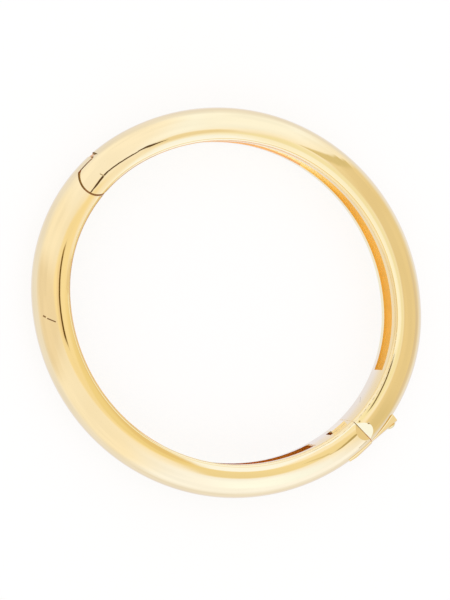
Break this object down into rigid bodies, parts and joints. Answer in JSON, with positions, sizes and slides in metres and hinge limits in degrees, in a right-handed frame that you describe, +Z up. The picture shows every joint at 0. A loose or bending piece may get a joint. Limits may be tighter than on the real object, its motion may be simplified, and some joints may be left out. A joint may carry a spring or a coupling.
{
  "type": "hinged oval bangle",
  "caption": "Oval hinged bangle of hollow gold tube in two halves, with a hidden hinge, a folded spring tongue clasp and a push button, lying on its side.",
  "frame": {"origin": "centre of the wrist opening, at the height of the face that the bangle rests on", "axes": "+Z up along the bangle's axis as it lies on its side, +X along the long axis of the oval towards the end beside the clasp, +Y across the oval"},
  "size_m": [0.0698, 0.0644, 0.0077],
  "materials": {
    "left_half": "polished yellow gold",
    "right_half": "polished yellow gold",
    "hinge_pin": "drawn yellow gold wire",
    "clasp_tongue": "brushed yellow gold strip",
    "push_button": "polished yellow gold"
  },
  "bodies": {
    "left": {"left_half": "left_half", "hinge_pin": "hinge_pin", "clasp_tongue": "clasp_tongue"},
    "right": {"right_half": "right_half"},
    "button": {"push_button": "push_button"}
  },
  "joints": [
    {"name": "hinge", "type": "hinge", "parent": "left", "child": "right", "pos_m": [-0.03171, 0.00947, 0.00385], "axis": [0, 0, 1], "range_deg": [0, 50]},
    {"name": "button_press", "type": "slide", "parent": "right", "child": "button", "axis": [-0.9278, 0.373, 0], "range_m": [0, 0.00035], "stiffness_N_per_m": 300}
  ]
}
